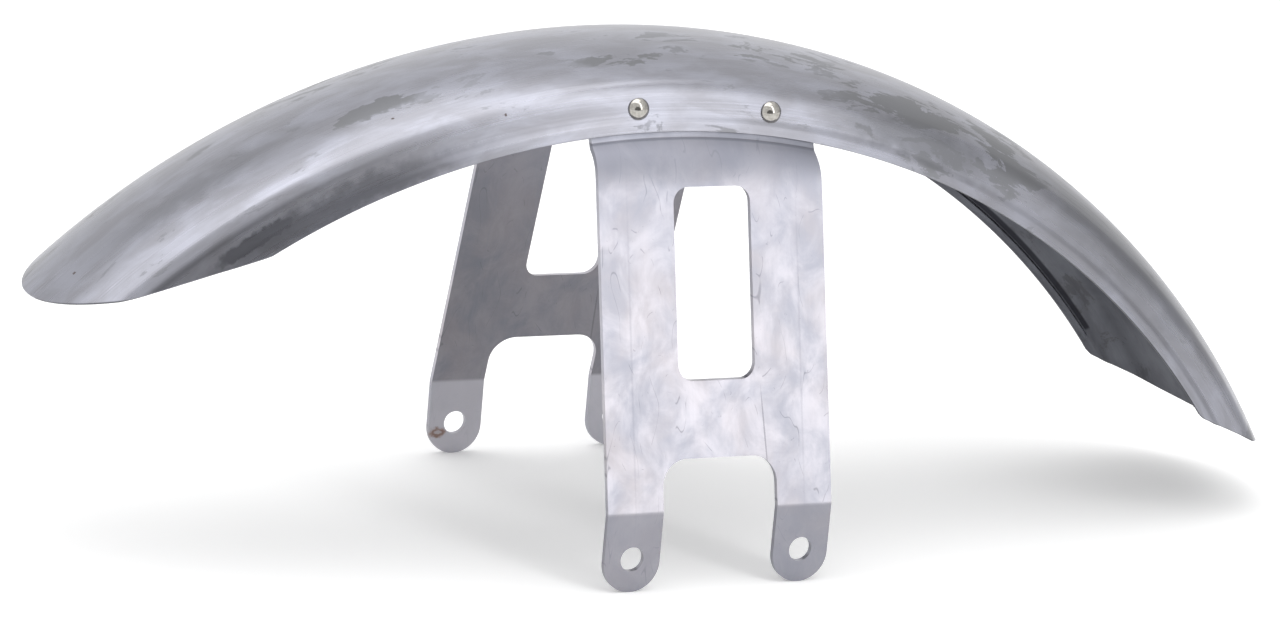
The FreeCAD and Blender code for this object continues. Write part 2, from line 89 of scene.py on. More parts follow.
RIVET_SPACING = 60.0 * MM
RIVET_HEIGHT = 9.9 * MM
RIVET_HEAD = 4.5 * MM
RIVET_RISE = 3.0 * MM
RIVET_RIM = 0.5 * MM
RIVET_EASE = 0.12 * MM
RIVET_SHANK = 2.5 * MM
TAIL_RADIUS = 3.5 * MM
TAIL_RISE = 1.2 * MM
TAIL_BULGE = 0.1 * MM
TAIL_EASE = 0.35 * MM

# How finely the shapes are divided
BLADE_STEPS = 230
HEM_STEPS = 200
STEP_ROWS = 8
SHOULDER_ROWS = 12
CROWN_ROWS = 16
FOLD_ROWS = 8
BEND_ROWS = 4
BROW_ROWS = 12
BRACKET_COLUMNS = 28
CORNER_POINTS = 8
FOOT_POINTS = 14
HOLE_POINTS = 40
DOME_ROWS = 12
RIVET_STEPS = 48
TOUCHING = 0.001 * MM


def linear(code):
    """A colour written as sRGB hex, as the linear values that a shader takes."""
    values = []
    for place in (1, 3, 5):
        value = int(code[place:place + 2], 16) / 255
        values.append(value / 12.92 if value <= 0.04045 else ((value + 0.055) / 1.055) ** 2.4)
    return (*values, 1.0)


def add(tree, kind, inputs=None, **settings):
    """Adds one node with its settings. Each input takes a value, or another node's output."""
    node = tree.nodes.new(kind)
    for name, value in settings.items():
        setattr(node, name, value)
    for name, value in (inputs or {}).items():
        if isinstance(value, bpy.types.NodeSocket):
            tree.links.new(value, node.inputs[name])
        else:
            node.inputs[name].default_value = value
    return node


# The camera stands where it stood for the photograph
AZIMUTH = math.radians(-25.946)
ELEVATION = math.radians(15.297)
ROLL = math.radians(5.096)
DISTANCE = 2.04899
TARGET = Vector((-0.01605, 0.0, 0.09052))
LENS = 136.94
SENSOR = 36.0
FAR_LIMIT = 50.0


def set_camera():
    """A long lens, pointed at the middle of the mudguard and turned a little about its own axis."""
    level = math.cos(ELEVATION)
    sideways, forwards = math.sin(AZIMUTH) * level, math.cos(AZIMUTH) * level
    back = Vector((sideways, -forwards, math.sin(ELEVATION)))
    right = (-back).cross(Vector((0, 0, 1))).normalized()
    up = right.cross(-back)
    turned_right = right * math.cos(ROLL) + up * math.sin(ROLL)
    turned_up = up * math.cos(ROLL) - right * math.sin(ROLL)
    pose = Matrix((turned_right, turned_up, back)).transposed().to_4x4()
    pose.translation = TARGET + back * DISTANCE
    data = bpy.data.cameras.new("camera")
    data.sensor_width = SENSOR
    data.lens = LENS
    data.clip_end = FAR_LIMIT
    camera = bpy.data.objects.new("camera", data)
    camera.matrix_world = pose
    bpy.context.scene.collection.objects.link(camera)
    bpy.context.scene.camera = camera


# Helpers for the shapes
def on_wall(depth, height):
    """A point of the wall, across and above the axle.

    The depth is inwards from the full width at the edge, and the height is up the wall."""
    across = HALF_WIDTH - depth * math.cos(WALL_SLANT) - height * math.sin(WALL_SLANT)
    return across, EDGE_RADIUS - depth * math.sin(WALL_SLANT) + height * math.cos(WALL_SLANT)


def arc_points(centre, radius, start, stop, count):
    """Points along an arc, both ends included, with angles from the first axis in radians."""
    points = []
    for place in range(count + 1):
        angle = start + (stop - start) * place / count
        across, up = math.cos(angle), math.sin(angle)
        points.append((centre[0] + radius * across, centre[1] + radius * up))
    return points


def eased(share):
    """A share from 0 to 1 that starts and stops softly."""
    return share * share * (3 - 2 * share)


def new_piece(name, bm, material, node):
    """Makes a finished bmesh an object that stands for a solid and takes a slot's finish."""
    mesh = bpy.data.meshes.new(name)
    bm.to_mesh(mesh)
    bm.free()
    mesh.materials.append(material)
    piece = bpy.data.objects.new(name, mesh)
    bpy.context.scene.collection.objects.link(piece)
    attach(piece, "root")
    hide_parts(node)
    return piece


def shade(piece):
    """Smooth shading, with the sheet's edges kept crisp."""
    for polygon in piece.data.polygons:
        polygon.use_smooth = True
    piece.data.set_sharp_from_angle(angle=math.radians(35.0))


def round_edges(piece, width):
    """Rounds the edges that the shears left, so that they catch the light."""
    bevel = piece.modifiers.new("rounded_edges", "BEVEL")
    bevel.width = width
    bevel.segments = 3
    bevel.limit_method = "ANGLE"
    bevel.angle_limit = math.radians(40.0)
    bevel.harden_normals = True


# Blade
SHOULDER_CENTRE = on_wall(BLADE_SHEET + SHOULDER_RADIUS, WALL_HEIGHT)


def wall_outline():
    """The outer face of the right half of the section, from the edge up to the crown's middle."""
    points = [on_wall(HEM_DEPTH, height * MM) for height in (0.0, 0.6, 1.2, 2.2, 3.0)]
    for place in range(1, STEP_ROWS + 1):
        share = place / STEP_ROWS
        depth = HEM_DEPTH + (BLADE_SHEET - HEM_DEPTH) * eased(share)
        points.append(on_wall(depth, STEP_FOOT + (STEP_TOP - STEP_FOOT) * share))
    for share in (0.25, 0.5, 0.75, 1.0):
        points.append(on_wall(BLADE_SHEET, STEP_TOP + (WALL_HEIGHT - STEP_TOP) * share))
    across, up = SHOULDER_CENTRE
    drop = BLADE_RADIUS - up
    crown = (across ** 2 + drop ** 2 - SHOULDER_RADIUS ** 2) / (2 * (drop - SHOULDER_RADIUS))
    crown_centre = (0.0, BLADE_RADIUS - crown)
    join = math.atan2(up - crown_centre[1], across)
    points += arc_points(SHOULDER_CENTRE, SHOULDER_RADIUS, WALL_SLANT, join, SHOULDER_ROWS)[1:]
    points += arc_points(crown_centre, crown, join, math.pi / 2, CROWN_ROWS)[1:]
    return points


def corner_angle(radius, sweep, corner):
    """How far from the top the blade reaches at a distance from the axle.

    The end is cut straight from the wall's corner to the crown's tip, and the corner is rounded."""
    tip = Vector((math.sin(sweep), math.cos(sweep))) * BLADE_RADIUS
    low = Vector((math.sin(corner), math.cos(corner))) * EDGE_RADIUS
    run = (tip - low).normalized()
    edge_run = Vector((-math.cos(corner), math.sin(corner)))
    opening = run.angle(edge_run)
    touch = low + run * CORNER_RADIUS / math.tan(opening / 2)
    inward = Vector((run.y, -run.x))
    if inward.dot(edge_run) < 0:
        inward = -inward
    centre = touch + inward * CORNER_RADIUS
    radius = max(radius, centre.length - CORNER_RADIUS + TOUCHING)
    if radius < touch.length:
        spread = centre.length ** 2 + radius ** 2 - CORNER_RADIUS ** 2
        turn = math.acos(min(1.0, spread / (2 * centre.length * radius)))
        return math.atan2(centre.x, centre.y) + turn
    fall = touch.dot(run)
    along = math.sqrt(fall ** 2 + radius ** 2 - touch.length ** 2) - fall
    place = touch + run * along
    return math.atan2(place.x, place.y)


def spin_outline(bm, points, start, stop, steps, closed=False):
    """Rolls an outline about the axle, from one angle from the top to another."""
    verts = [bm.verts.new((AXLE.x, across, AXLE.z + up)) for across, up in points]
    pairs = list(zip(verts, verts[1:]))
    if closed:
        pairs.append((verts[-1], verts[0]))
    edges = [bm.edges.new(pair) for pair in pairs]
    first_place = Matrix.Rotation(start, 3, "Y")
    bmesh.ops.rotate(bm, verts=verts, cent=AXLE, matrix=first_place)
    bmesh.ops.spin(
        bm, geom=verts + edges, cent=AXLE, axis=(0, 1, 0), angle=stop - start, steps=steps,
    )


def fit_ends(verts, front, rear):
    """Slides points round the axle, so that each row ends where a function of its radius says."""
    for vert in verts:
        offset = vert.co - AXLE
        radius = math.hypot(offset.x, offset.z)
        turn = math.atan2(offset.x, offset.z)
        share = (turn + FRONT_SWEEP) / (REAR_SWEEP + FRONT_SWEEP)
        angle = -front(radius) + share * (front(radius) + rear(radius))
        vert.co = AXLE + Vector((radius * math.sin(angle), offset.y, radius * math.cos(angle)))


def press_in(verts, whole):
    """Towards the front the step above the hem dies out, so there the hem lies further in.

    A folded lip moves whole, and of the sheet only what stands proud of the wall."""
    for vert in verts:
        offset = vert.co - AXLE
        radius = math.hypot(offset.x, offset.z)
        side = math.copysign(1.0, offset.y)
        turn = math.atan2(offset.x, offset.z)
        share = (STEP_FADE_START - turn) / (STEP_FADE_START - STEP_FADE_END)
        share = eased(min(max(share, 0.0), 1.0))
        depth = HEM_DEPTH
        if not whole:
            inwards = (HALF_WIDTH - abs(offset.y)) * math.cos(WALL_SLANT)
            depth = inwards + (EDGE_RADIUS - radius) * math.sin(WALL_SLANT)
        push = BLADE_SHEET - depth
        if push <= 0 or radius > EDGE_RADIUS + STEP_TOP:
            continue
        across = Vector((0.0, side * math.cos(WALL_SLANT), 0.0))
        outwards = Vector((offset.x, 0.0, offset.z)) / radius * math.sin(WALL_SLANT)
        vert.co -= (across + outwards) * push * share


def hem_outline(side):
    """Section of one folded lip with the fold's round bottom, as a closed loop.

    The lip is a hair clear of the wall's inner face, and thins towards its cut edge."""
    sheet = BLADE_SHEET
    loop = [(1.1 * sheet, HEM_HEIGHT), (1.1 * sheet, 1.5 * sheet), (0.05 * sheet, 1.5 * sheet)]
    loop += arc_points((sheet, sheet), 0.99 * sheet, -math.pi, 0.0, FOLD_ROWS)
    loop += [(2 * sheet, HEM_HEIGHT - 0.3 * sheet), (1.75 * sheet, HEM_HEIGHT)]
    points = []
    for depth, height in loop:
        across, up = on_wall(depth + HEM_DEPTH, height)
        points.append((side * across, up))
    return points


def hem_angle(radius, corner):
    """Where the folded lip stops short of a wall corner: later at its foot than at its top."""
    height = min(max((radius - EDGE_RADIUS) / HEM_HEIGHT, 0.0), 1.0)
    return corner - (HEM_SETBACK + HEM_SLANT * height) / EDGE_RADIUS


# How much width a drop of the wall counts for on the blade's map
WALL_STRETCH = 0.85


def mark_out(bm):
    """Lays a UV map over the blade in metres: along the arc, and across from the middle."""
    layer = bm.loops.layers.uv.new("sheet")
    for face in bm.faces:
        for loop in face.loops:
            offset = loop.vert.co - AXLE
            drop = BLADE_RADIUS - math.hypot(offset.x, offset.z)
            side = math.copysign(1.0, offset.y)
            across = offset.y + side * drop * WALL_STRETCH
            loop[layer].uv = (math.atan2(offset.x, offset.z) * BLADE_RADIUS, across)


def build_blade(outside, inside):
    """The blade: one rolled sheet with slanted ends, its edges folded in and pressed flat."""
    bm = bmesh.new()
    half = wall_outline()
    outline = [(-across, up) for across, up in half] + half[-2::-1]
    spin_outline(bm, outline, -FRONT_SWEEP, REAR_SWEEP, BLADE_STEPS)
    fit_ends(
        bm.verts,
        lambda radius: corner_angle(radius, FRONT_SWEEP, FRONT_CORNER),
        lambda radius: corner_angle(radius, REAR_SWEEP, REAR_CORNER),
    )
    press_in(bm.verts, False)
    bmesh.ops.recalc_face_normals(bm, faces=bm.faces)
    if sum(face.normal.dot(face.calc_center_median() - AXLE) for face in bm.faces) < 0:
        bmesh.ops.reverse_faces(bm, faces=bm.faces)
    bmesh.ops.solidify(bm, geom=bm.faces[:], thickness=BLADE_SHEET)
    for side in (-1, 1):
        lip = bmesh.new()
        spin_outline(lip, hem_outline(side), -FRONT_SWEEP, REAR_SWEEP, HEM_STEPS, closed=True)
        fit_ends(
            lip.verts,
            lambda radius: hem_angle(radius, FRONT_CORNER),
            lambda radius: hem_angle(radius, REAR_CORNER),
        )
        press_in(lip.verts, True)
        ends = [edge for edge in lip.edges if edge.is_boundary]
        bmesh.ops.holes_fill(lip, edges=ends, sides=0)
        bmesh.ops.recalc_face_normals(lip, faces=lip.faces)
        scratch = bpy.data.meshes.new("lip")
        lip.to_mesh(scratch)
        lip.free()
        bm.from_mesh(scratch)
        bpy.data.meshes.remove(scratch)
    mark_out(bm)
    # Faces turned inwards take the second material, a darker copy of the steel with painted shade
    # The steep walls face sideways, so the side counts three times in what faces inwards
    for face in bm.faces:
        middle = face.calc_center_median() - AXLE
        outwards = Vector((middle.x, middle.y * 3, middle.z))
        face.material_index = int(face.normal.dot(outwards) < 0)
    blade = new_piece("mudguard_blade", bm, outside, "blade")
    blade.data.materials.append(inside)
    shade(blade)
    round_edges(blade, 0.3 * MM)


# Brackets
CREASE = on_wall(2 * BLADE_SHEET, -SHELF_GAP)
SPLAY = math.atan2(FEET_HALF - CREASE[0] - BROW_REACH, CREASE[1] + AXLE.z - BEND_HEIGHT)
# How far the brow's curve keeps to the plate's line and to the shelf's, as shares of its span, and
# where it stops short of the crease
BROW_LEAN = 0.42
BROW_FALL = 0.45
BROW_END = 0.96
TRIM_MARGIN = 2.0 * MM
CUTTER_TOP = 230.0 * MM
CUTTER_NEAR = 30.0 * MM
CUTTER_FAR = 110.0 * MM


def column(x):
    """The bracket's outer face at one place along the machine, from foot to flange top."""
    lead = x - AXLE.x

    def level(radius):
        return AXLE.z + math.sqrt(radius ** 2 - lead ** 2)

    bend_top = BEND_HEIGHT - BEND_RADIUS * math.tan(SPLAY / 2)
    points = [(FEET_HALF, -TRIM_MARGIN)]
    bend_centre = (FEET_HALF - BEND_RADIUS, bend_top)
    points += arc_points(bend_centre, BEND_RADIUS, 0.0, SPLAY, BEND_ROWS)
    foot = Vector((FEET_HALF - (BROW_FOOT - BEND_HEIGHT) * math.tan(SPLAY), BROW_FOOT))
    crease = Vector((CREASE[0], level(CREASE[1])))
    span = (crease - foot).length
    lean = foot + Vector((-math.sin(SPLAY), math.cos(SPLAY))) * span * BROW_LEAN
    fall = crease + Vector((math.cos(SHELF_SLOPE), -math.sin(SHELF_SLOPE))) * span * BROW_FALL
    for place in range(BROW_ROWS + 1):
        share = BROW_END * place / BROW_ROWS
        rest = 1 - share
        start = foot * rest ** 3 + lean * 3 * rest ** 2 * share
        point = start + fall * 3 * rest * share ** 2 + crease * share ** 3
        points.append(tuple(point))
    for height in (-0.75, 0.0, 4.0, 9.0):
        across, up = on_wall(2 * BLADE_SHEET, height * MM)
        points.append((across, level(up)))
    inner = SHOULDER_RADIUS - BLADE_SHEET
    top = math.asin((BLADE_RADIUS - FLANGE_DROP - SHOULDER_CENTRE[1]) / inner)
    for across, up in arc_points(SHOULDER_CENTRE, inner, WALL_SLANT, top, BEND_ROWS):
        points.append((across, level(up)))
    return points


def prism(name, outline, side):
    """A cutter: an outline, as seen from the side, that runs through one bracket."""
    low, high = sorted((side * CUTTER_NEAR, side * CUTTER_FAR))
    bm = bmesh.new()
    face = bm.faces.new([bm.verts.new((x, low, z)) for x, z in outline])
    grown = bmesh.ops.extrude_face_region(bm, geom=[face])
    raised = [item for item in grown["geom"] if isinstance(item, bmesh.types.BMVert)]
    bmesh.ops.translate(bm, verts=raised, vec=(0, high - low, 0))
    bmesh.ops.recalc_face_normals(bm, faces=bm.faces)
    mesh = bpy.data.meshes.new(name)
    bm.to_mesh(mesh)
    bm.free()
    return bpy.data.objects.new(name, mesh)


def rounded(corners, count):
    """An outline with corners (x, z, radius), each rounded by an arc."""
    outline = []
    for place, (x, z, radius) in enumerate(corners):
        if radius == 0:
            outline.append((x, z))
            continue
        here = Vector((x, z))
        before = (Vector(corners[place - 1][:2]) - here).normalized()
        after = (Vector(corners[(place + 1) % len(corners)][:2]) - here).normalized()
        half = before.angle(after) / 2
        centre = here + (before + after).normalized() * radius / math.sin(half)
        first = here + before * radius / math.tan(half) - centre
        last = here + after * radius / math.tan(half) - centre
        start = math.atan2(first.y, first.x)
        stop = start - first.angle_signed(last)
        outline += arc_points(centre, radius, start, stop, count)
    return outline


def bracket_cutters(side):
    """What trims a bracket to its outline, and what pierces it."""
    lead = AXLE.x + BRACKET_LEAD
    near, far = lead - HOLE_SPACING / 2, lead + HOLE_SPACING / 2
    half = LEG_WIDTH / 2
    foot = half - 10 * TOUCHING
    trim = prism("bracket_trim", rounded([
        (near - half, 0.0, foot), (near + half, 0.0, foot),
        (near + half, NOTCH_HEIGHT, NOTCH_CORNER), (far - half, NOTCH_HEIGHT, NOTCH_CORNER),
        (far - half, 0.0, foot), (far + half, 0.0, foot),
        (far + half, CUTTER_TOP, 0), (near - half, CUTTER_TOP, 0),
    ], FOOT_POINTS), side)
    half = WINDOW_WIDTH / 2
    window = prism("bracket_window", rounded([
        (lead - half, WINDOW_BOTTOM, WINDOW_CORNER), (lead + half, WINDOW_BOTTOM, WINDOW_CORNER),
        (lead + half, WINDOW_TOP, WINDOW_CORNER), (lead - half, WINDOW_TOP, WINDOW_CORNER),
    ], CORNER_POINTS), side)
    holes = []
    for middle in (near, far):
        outline = arc_points((middle, HOLE_HEIGHT), HOLE_RADIUS, 0, math.tau, HOLE_POINTS)
        holes.append(prism("fork_hole", outline[:-1], side))
    return trim, [window] + holes


def cut(piece, tool, operation):
    """Trims a piece with a cutter."""
    bpy.context.scene.collection.objects.link(tool)
    change = piece.modifiers.new(tool.name, "BOOLEAN")
    change.operation = operation
    change.solver = "MANIFOLD"
    change.object = tool


def bake(piece):
    """Applies a piece's modifiers and takes away the cutters."""
    tools = [change.object for change in piece.modifiers if change.type == "BOOLEAN"]
    bpy.context.view_layer.update()
    graph = bpy.context.evaluated_depsgraph_get()
    mesh = bpy.data.meshes.new_from_object(piece.evaluated_get(graph))
    piece.modifiers.clear()
    piece.data = mesh
    for tool in tools:
        bpy.data.objects.remove(tool)


def build_bracket(side, side_name, outside, inside):
    """A pressed bracket: upright feet, a splayed plate, a brow under the blade, and the flange."""
    bm = bmesh.new()
    middle = AXLE.x + BRACKET_LEAD
    half = BRACKET_HALF + TRIM_MARGIN
    rows = len(column(middle)) - 1
    bmesh.ops.create_grid(bm, x_segments=BRACKET_COLUMNS, y_segments=rows, size=0.5)
    for vert in bm.verts:
        place = round((vert.co.x + 0.5) * BRACKET_COLUMNS)
        x = middle + half * (2 * place / BRACKET_COLUMNS - 1)
        y, z = column(x)[round((vert.co.y + 0.5) * rows)]
        vert.co = (x, side * y, z)
    bmesh.ops.recalc_face_normals(bm, faces=bm.faces)
    if sum(face.normal.y * side for face in bm.faces) < 0:
        bmesh.ops.reverse_faces(bm, faces=bm.faces)
    bracket = new_piece(
        "pressed_bracket_" + side_name, bm, outside, "bracket_" + side_name,
    )
    wall = bracket.modifiers.new("sheet", "SOLIDIFY")
    wall.thickness = BRACKET_SHEET
    wall.offset = -1.0
    wall.use_even_offset = True
    trim, pierces = bracket_cutters(side)
    cut(bracket, trim, "INTERSECT")
    for tool in pierces:
        cut(bracket, tool, "DIFFERENCE")
    bake(bracket)
    # The cutters leave empty material slots behind, so both steels are given anew
    bracket.data.materials.clear()
    bracket.data.materials.append(outside)
    bracket.data.materials.append(inside)
    # Faces turned inwards take the second material, a darker copy of the steel with painted shade
    for face in bracket.data.polygons:
        face.material_index = int(face.normal.y * side < -0.3)
    shade(bracket)
    round_edges(bracket, 0.35 * MM)


# Rivets
def rivet_frame(side, sign):
    """A rivet's place on the wall's outer face, with its own Z square to the wall."""
    across, radius = on_wall(BLADE_SHEET, RIVET_HEIGHT)
    lead = BRACKET_LEAD + sign * RIVET_SPACING / 2
    sweep = Matrix.Rotation(math.asin(lead / radius), 4, "Y")
    lean = Matrix.Rotation(-side * (math.pi / 2 - WALL_SLANT), 4, "X")
    place = Vector((lead, side * across, math.sqrt(radius ** 2 - lead ** 2))) + AXLE
    return Matrix.Translation(place) @ sweep @ lean


def build_rivet(side, sign, node, material):
    """A rivet with a domed head outside, a shank, and a flat closed head inside."""
    rise = RIVET_RISE - RIVET_RIM
    dome = (RIVET_HEAD ** 2 + rise ** 2) / (2 * rise)
    start = math.atan2(RIVET_RIM - (RIVET_RISE - dome), RIVET_HEAD)
    grip = BLADE_SHEET + BRACKET_SHEET
    profile = arc_points((0.0, RIVET_RISE - dome), dome, math.pi / 2, start, DOME_ROWS)
    profile += [
        (RIVET_HEAD, RIVET_EASE), (RIVET_HEAD - RIVET_EASE, 0.0), (RIVET_SHANK, 0.0),
        (RIVET_SHANK, -grip), (TAIL_RADIUS, -grip),
        (TAIL_RADIUS + TAIL_BULGE, -grip - 0.4 * TAIL_RISE),
        (TAIL_RADIUS - TAIL_EASE, -grip - TAIL_RISE), (0.0, -grip - TAIL_RISE),
    ]
    bm = bmesh.new()
    verts = [bm.verts.new((across, 0.0, up)) for across, up in profile]
    edges = [bm.edges.new(pair) for pair in zip(verts, verts[1:])]
    bmesh.ops.spin(
        bm, geom=verts + edges, cent=(0, 0, 0), axis=(0, 0, 1), angle=math.tau,
        steps=RIVET_STEPS, use_merge=True,
    )
    bmesh.ops.remove_doubles(bm, verts=bm.verts, dist=TOUCHING)
    bmesh.ops.recalc_face_normals(bm, faces=bm.faces)
    bmesh.ops.transform(bm, matrix=rivet_frame(side, sign), verts=bm.verts)
    shade(new_piece("domed_" + node, bm, material, node))


# Patterns. Places and sizes are millimetres on the sheet, and a mask goes from 0 to 1.
def millimetres(tree, source):
    """Coordinates in millimetres, from an output that gives metres."""
    values = {0: source, 1: (1000.0, 1000.0, 1000.0)}
    return add(tree, "ShaderNodeVectorMath", values, operation="MULTIPLY").outputs["Vector"]


def cloud(tree, place, size, detail, distortion=0.0, rough=0.55):
    """Soft irregular variation about 0.5, with patches about as long and wide as size."""
    values = {"Vector": place, "Scale": [1 / length for length in size]}
    local = add(tree, "ShaderNodeMapping", values).outputs["Vector"]
    values = {"Vector": local, "Scale": 1.0, "Detail": detail, "Roughness": rough}
    values["Distortion"] = distortion
    return add(tree, "ShaderNodeTexNoise", values).outputs["Fac"]


def patches(tree, place, size, low, high, strength=1.0, **kind):
    """A cloud's middle range spread out into a mask: 0 below low, full strength above high."""
    values = {"Value": cloud(tree, place, size, **kind), "From Min": low, "From Max": high}
    values["To Max"] = strength
    spread = add(tree, "ShaderNodeMapRange", values, interpolation_type="SMOOTHSTEP")
    return spread.outputs[0]


def band(tree, value, start, full, fading, end):
    """A mask with two soft ends: it rises from start to full, and falls from fading to end."""
    slopes = {}
    for place, (low, high) in enumerate(((start, full), (end, fading))):
        values = {"Value": value, "From Min": low, "From Max": high}
        slope = add(tree, "ShaderNodeMapRange", values, interpolation_type="SMOOTHSTEP")
        slopes[place] = slope.outputs[0]
    return add(tree, "ShaderNodeMath", slopes, operation="MULTIPLY").outputs[0]


def joined(tree, masks):
    """One mask from several, where each place takes the strongest."""
    whole = masks[0]
    for mask in masks[1:]:
        both = add(tree, "ShaderNodeMath", {0: whole, 1: mask}, operation="MAXIMUM")
        whole = both.outputs[0]
    return whole


def spot(tree, place, centre, size, edge=0.5, strength=1.0, turn=0.0):
    """A mask of one oval mark with a ragged rim, by its centre and its half lengths.

    It is at full strength within edge, a share of its half lengths. The turn is in degrees."""
    narrow = min(size)
    values = {"Vector": place, "Scale": 1.6 / narrow, "Detail": 3.0}
    ragged = add(tree, "ShaderNodeTexNoise", values).outputs["Color"]
    values = {0: ragged, 1: (0.5, 0.5, 0.5)}
    shift = add(tree, "ShaderNodeVectorMath", values, operation="SUBTRACT").outputs[0]
    values = {0: shift, 1: (1.2 * narrow, 1.2 * narrow, 1.2 * narrow), 2: place}
    moved = add(tree, "ShaderNodeVectorMath", values, operation="MULTIPLY_ADD").outputs[0]
    values = {"Vector": moved, "Location": (*centre, 0.0), "Scale": (*size, 1e6)}
    values["Rotation"] = (0.0, 0.0, math.radians(turn))
    local = add(tree, "ShaderNodeMapping", values, vector_type="TEXTURE").outputs[0]
    reach = add(tree, "ShaderNodeVectorMath", {0: local}, operation="LENGTH").outputs["Value"]
    values = {"Value": reach, "From Min": 1.0, "From Max": edge, "To Max": strength}
    return add(tree, "ShaderNodeMapRange", values, interpolation_type="SMOOTHSTEP").outputs[0]


def spots(tree, place, marks):
    """One mask of several marks, each with its centre, half lengths, edge and strength."""
    return joined(tree, [spot(tree, place, *mark) for mark in marks])


def scratches(tree, place, size, width, amount):
    """Hairline marks: the contour of a slow variation, kept only here and there."""
    line = cloud(tree, place, size, detail=1.0, distortion=0.4)
    away = add(tree, "ShaderNodeMath", {0: line, 1: 0.5}, operation="SUBTRACT").outputs[0]
    away = add(tree, "ShaderNodeMath", {0: away}, operation="ABSOLUTE").outputs[0]
    values = {"Value": away, "From Min": width, "From Max": 0.0}
    thin = add(tree, "ShaderNodeMapRange", values, interpolation_type="SMOOTHSTEP").outputs[0]
    reach = [length * 0.45 for length in size]
    kept = patches(tree, place, reach, 1 - amount, 1.06 - amount, detail=2.0)
    return add(tree, "ShaderNodeMath", {0: thin, 1: kept}, operation="MULTIPLY").outputs[0]


def cover(tree, colour, mask, strength, shade_code):
    """Lays a shade over a colour where the mask is, as strongly as a number or mask says."""
    share = add(tree, "ShaderNodeMath", {0: mask, 1: strength}, operation="MULTIPLY").outputs[0]
    values = {0: share, 6: colour, 7: linear(shade_code)}
    return add(tree, "ShaderNodeMix", values, data_type="RGBA").outputs[2]


def weighted(tree, start, parts):
    """A starting value, and to it each mask times its weight."""
    total = start
    for mask, weight in parts:
        values = {0: mask, 1: weight, 2: total}
        total = add(tree, "ShaderNodeMath", values, operation="MULTIPLY_ADD").outputs[0]
    return total


# Materials
def new_steel(name):
    """An empty steel material: all metal, with its shader and node tree."""
    material = bpy.data.materials.new(name)
    material.use_nodes = True
    tree = material.node_tree
    shader = tree.nodes["Principled BSDF"]
    shader.inputs["Metallic"].default_value = 1.0
    return material, tree, shader


def finish(tree, shader, colour, rough, height, strength):
    """Gives the shader its colour and roughness, and a relief from a height."""
    values = {"Strength": strength, "Distance": 0.03 * MM, "Height": height}
    relief = add(tree, "ShaderNodeBump", values)
    tree.links.new(colour, shader.inputs["Base Color"])
    tree.links.new(rough, shader.inputs["Roughness"])
    tree.links.new(relief.outputs["Normal"], shader.inputs["Normal"])


# Marks on the blade, placed along the arc from the top and across from the middle: each has its
# centre, half lengths, edge and strength
FILM_ZONES = (
    ((-127.0, -28.0), (26.0, 8.0), 0.5, 1.0),
    ((-17.0, -33.0), (26.0, 8.0), 0.5, 1.0),
    ((60.0, -22.0), (50.0, 12.0), 0.5, 0.6),
    ((140.0, -48.0), (85.0, 27.0), 0.5, 1.0),
)
WIPED_ZONES = (
    ((150.0, -55.0), (30.0, 7.0), 0.5, 1.0),
    ((195.0, -40.0), (24.0, 8.0), 0.5, 1.0),
)
# Painted shade: darker patches where the real steel mirrors darker surroundings, on the crown and
# the wall
PAINTED_DARK_REFLECTIONS = (
    ((-205.0, -20.0), (70.0, 13.0), 0.1, 0.65),
    ((250.0, -46.0), (90.0, 34.0), 0.2, 1.0),
    ((125.0, -63.0), (62.0, 12.0), 0.3, 1.0),
)
# Along the lower front wall: the long mark is painted shade where the wall mirrors dark
# surroundings, laid over real stains, and the small mark is a real stain
WALL_STAIN_AND_PAINTED_SHADE = (
    ((-160.0, -71.0), (90.0, 9.5), 0.3, 0.8),
    ((-198.0, -67.0), (26.0, 4.5), 0.6, 1.0),
)
PITS = (
    ((-122.3, -40.4), (0.9, 0.7), 0.5, 1.0),
    ((-77.8, -59.3), (0.8, 0.9), 0.5, 1.0),
    ((-263.6, -16.0), (1.0, 1.0), 0.5, 1.0),
)


